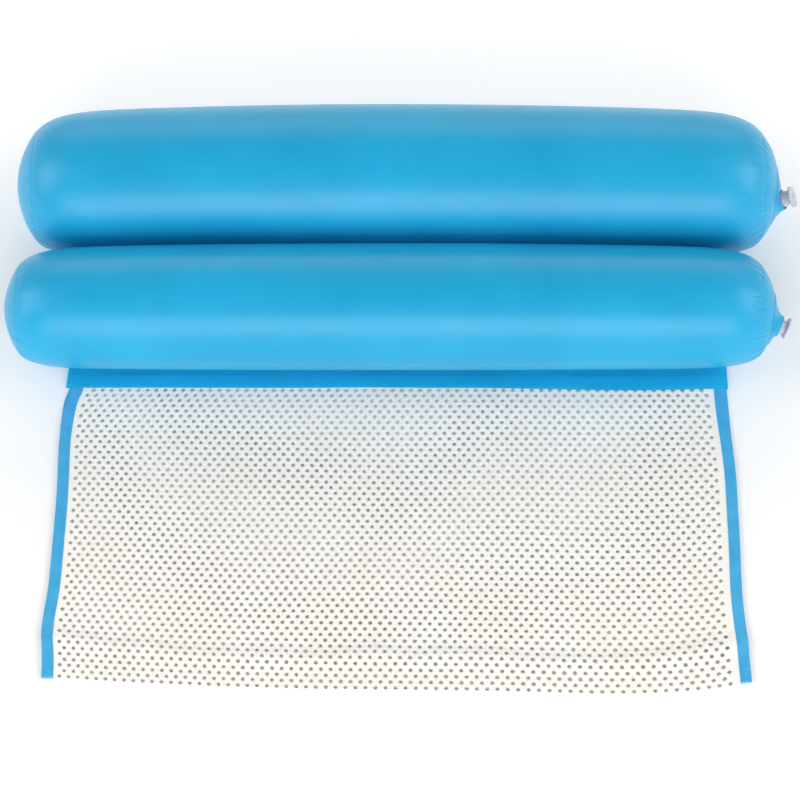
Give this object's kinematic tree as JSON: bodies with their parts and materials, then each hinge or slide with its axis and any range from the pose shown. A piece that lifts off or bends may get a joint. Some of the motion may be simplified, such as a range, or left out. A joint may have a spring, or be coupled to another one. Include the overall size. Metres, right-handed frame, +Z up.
{
  "type": "inflatable pool hammock",
  "caption": "Folding water hammock: two inflatable tubes with push-in valves, joined by a long perforated mesh panel that is folded under the smaller tube.",
  "frame": {"origin": "on the floor under the middle of the whole folded object", "axes": "+X along the tubes towards the valves, +Y from the fold towards the head tube, +Z up"},
  "size_m": [0.7313, 0.5467, 0.141],
  "materials": {
    "pvc_film": "satin blue PVC film",
    "strip_film": "satin blue PVC tape",
    "mesh": "PVC-coated white mesh",
    "binding": "woven blue binding tape",
    "thread": "blue thread",
    "clear_pvc": "clear soft PVC"
  },
  "bodies": {
    "root": {"head_sleeve": "pvc_film", "head_cap_left": "pvc_film", "head_cap_right": "pvc_film", "head_valve_skirt": "pvc_film", "head_weld_tab": "pvc_film", "head_strip_top": "strip_film", "head_strip_bottom": "strip_film", "head_strip_stitches": "thread", "mesh_lower": "mesh", "mesh_fold": "mesh", "binding_lower_left": "binding", "binding_lower_right": "binding", "binding_lower_stitches": "thread", "binding_fold_left": "binding", "binding_fold_right": "binding"},
    "leg_panel": {"mesh_upper": "mesh", "binding_upper_left": "binding", "binding_upper_right": "binding", "binding_upper_stitches": "thread", "leg_strip_top": "strip_film", "leg_strip_bottom": "strip_film", "leg_strip_stitches": "thread"},
    "leg_tube": {"leg_sleeve": "pvc_film", "leg_cap_left": "pvc_film", "leg_cap_right": "pvc_film", "leg_valve_skirt": "pvc_film", "leg_weld_tab": "pvc_film"},
    "head_valve": {"head_valve_stem": "clear_pvc", "head_plug_tether": "clear_pvc"},
    "head_plug": {"head_valve_plug": "clear_pvc"},
    "head_flap": {"head_check_flap": "clear_pvc"},
    "leg_valve": {"leg_valve_stem": "clear_pvc", "leg_plug_tether": "clear_pvc"},
    "leg_plug": {"leg_valve_plug": "clear_pvc"},
    "leg_flap": {"leg_check_flap": "clear_pvc"}
  },
  "joints": [
    {"name": "fold_hinge", "type": "hinge", "parent": "root", "child": "leg_panel", "pos_m": [-0.009, -0.272, 0.00155], "axis": [1, 0, 0], "range_deg": [0, 180], "deforming": ["mesh_fold", "binding_fold_left", "binding_fold_right"]},
    {"name": "leg_seam_hinge", "type": "hinge", "parent": "leg_panel", "child": "leg_tube", "pos_m": [-0.009, 0.0626, 0.0024], "axis": [1, 0, 0], "range_deg": [-156, 0]},
    {"name": "head_valve_push", "type": "slide", "parent": "root", "child": "head_valve", "axis": [-0.866, 0.0076, -0.5], "range_m": [0, 0.0058]},
    {"name": "head_plug_pull", "type": "slide", "parent": "head_valve", "child": "head_plug", "axis": [0.866, -0.0076, 0.5], "range_m": [0, 0.009], "deforming": ["head_plug_tether"]},
    {"name": "head_flap_hinge", "type": "hinge", "parent": "head_valve", "child": "head_flap", "pos_m": [0.34237, 0.18477, 0.06688], "axis": [0.0087, 1, 0], "range_deg": [0, 35], "stiffness_Nm_per_rad": 0.0005},
    {"name": "leg_valve_push", "type": "slide", "parent": "leg_tube", "child": "leg_valve", "axis": [-0.9406, 0.3056, 0.1478], "range_m": [-0.0024, 0.0034]},
    {"name": "leg_plug_pull", "type": "slide", "parent": "leg_valve", "child": "leg_plug", "axis": [0.9406, -0.3056, -0.1478], "range_m": [0, 0.009], "deforming": ["leg_plug_tether"]},
    {"name": "leg_flap_hinge", "type": "hinge", "parent": "leg_valve", "child": "leg_flap", "pos_m": [0.33279, 0.06035, 0.06111], "axis": [0.309, 0.9511, 0], "range_deg": [0, 35], "stiffness_Nm_per_rad": 0.0005}
  ],
  "couplings": [
    {"joint": "leg_seam_hinge", "follows": "fold_hinge", "ratio": -0.86667}
  ]
}
